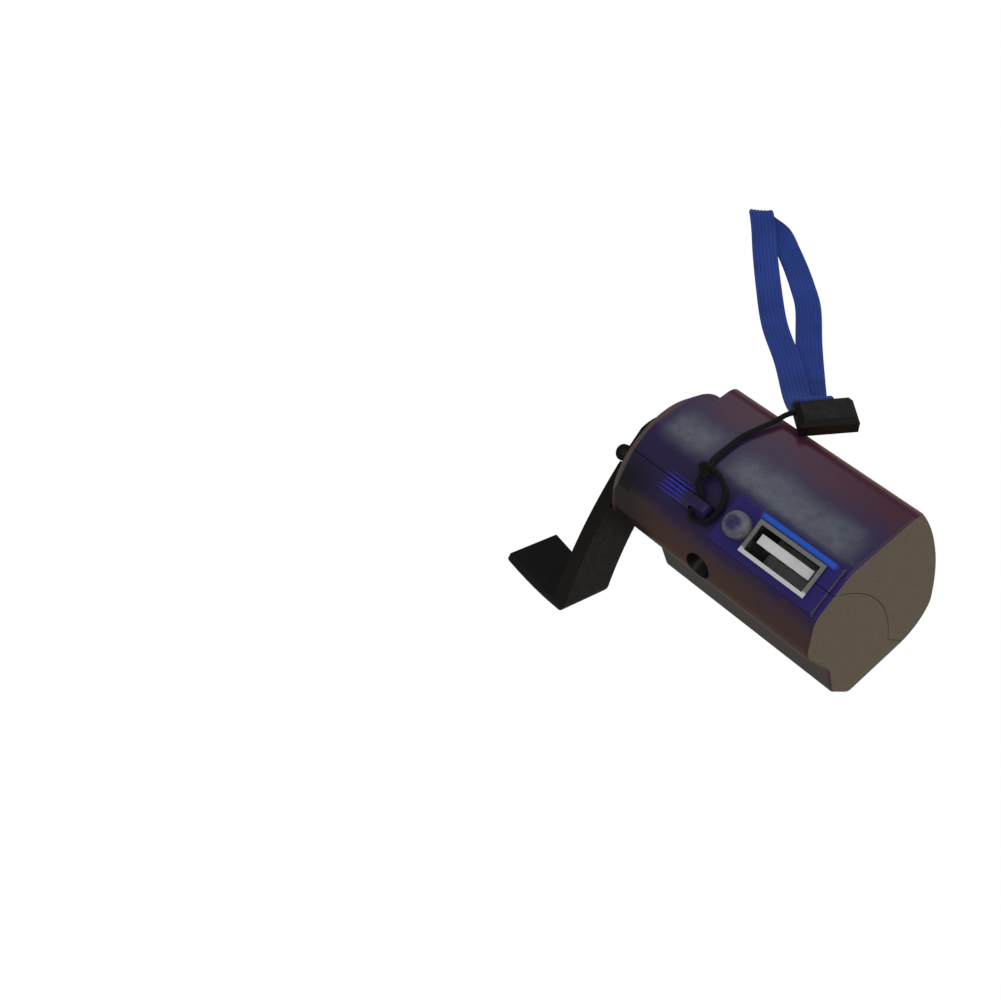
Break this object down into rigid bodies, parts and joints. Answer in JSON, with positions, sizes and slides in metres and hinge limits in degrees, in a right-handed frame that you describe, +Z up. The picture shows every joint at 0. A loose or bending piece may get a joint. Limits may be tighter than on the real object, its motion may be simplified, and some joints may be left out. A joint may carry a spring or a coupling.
{
  "type": "hand crank phone charger",
  "caption": "Palm-sized emergency charger: leaning two-part housing, folding crank on one end, gear train and generator inside, USB socket and lamp on top, cord and wrist ribbon.",
  "frame": {"origin": "on the slanted underside that it stands on, at mid-length of the housing", "axes": "+X along the crank axle from the crank end to the plain end, +Y from front to rear, +Z up; the housing leans forward over the front"},
  "size_m": [0.1086, 0.1308, 0.0509],
  "materials": {
    "purple_shell": "translucent, glossy",
    "steel": "machined",
    "inner_plastic": "moulded",
    "gear_plastic": "moulded",
    "brass": "machined",
    "winding": "enamelled wire",
    "magnet": "ground",
    "plated_steel": "bright plated",
    "white_plastic": "moulded",
    "contact_brass": "gilt",
    "board": "solder mask",
    "black_plastic": "satin, fine grain",
    "can_aluminium": "sleeved",
    "lead_rubber": "insulated",
    "clear_lens": "clear",
    "black_cord": "braided",
    "blue_ribbon": "ribbed weave"
  },
  "bodies": {
    "housing": {"front_shell": "purple_shell", "rear_shell": "purple_shell", "shell_screw": "steel", "gear_frame": "inner_plastic", "gear_cover": "inner_plastic", "frame_screws": "steel", "layshaft": "steel", "generator_can": "steel", "generator_cap": "inner_plastic", "generator_stator": "winding", "generator_bushes": "brass", "generator_screws": "steel", "usb_shell": "plated_steel", "usb_tongue": "white_plastic", "usb_contacts": "contact_brass", "circuit_board": "board", "board_screws": "steel", "converter_chip": "black_plastic", "capacitor": "can_aluminium", "diodes": "black_plastic", "generator_leads": "lead_rubber", "led_lens": "clear_lens", "led_leads": "plated_steel", "crank_bush": "brass", "strap_clasp": "black_plastic", "lanyard_cord": "black_cord", "cord_knot": "black_cord", "strap_ribbon": "blue_ribbon"},
    "crank": {"crank_hub": "black_plastic", "crank_shaft": "steel", "crank_gear": "gear_plastic", "crank_screw": "steel", "hinge_pin": "steel"},
    "arm": {"crank_arm": "black_plastic"},
    "first_wheel": {"first_gear": "gear_plastic"},
    "second_wheel": {"second_gear": "gear_plastic"},
    "rotor": {"generator_rotor": "magnet", "generator_shaft": "steel", "generator_pinion": "brass"}
  },
  "joints": [
    {"name": "crank_spin", "type": "hinge", "parent": "housing", "child": "crank", "pos_m": [0, -0.01257, 0.03544], "axis": [1, 0, 0], "continuous": true},
    {"name": "crank_fold", "type": "hinge", "parent": "crank", "child": "arm", "pos_m": [-0.0273, -0.01549, 0.03299], "axis": [0, 0.6429, -0.766], "range_deg": [0, 180]},
    {"name": "first_gear_spin", "type": "hinge", "parent": "housing", "child": "first_wheel", "pos_m": [0, -0.00518, 0.02414], "axis": [1, 0, 0], "continuous": true},
    {"name": "second_gear_spin", "type": "hinge", "parent": "housing", "child": "second_wheel", "pos_m": [0, -0.01257, 0.03544], "axis": [1, 0, 0], "continuous": true},
    {"name": "rotor_spin", "type": "hinge", "parent": "housing", "child": "rotor", "pos_m": [0, -0.00518, 0.02414], "axis": [1, 0, 0], "continuous": true}
  ],
  "couplings": [
    {"joint": "first_gear_spin", "follows": "crank_spin", "ratio": -2.8571},
    {"joint": "second_gear_spin", "follows": "crank_spin", "ratio": 8.1633},
    {"joint": "rotor_spin", "follows": "crank_spin", "ratio": -23.324}
  ]
}
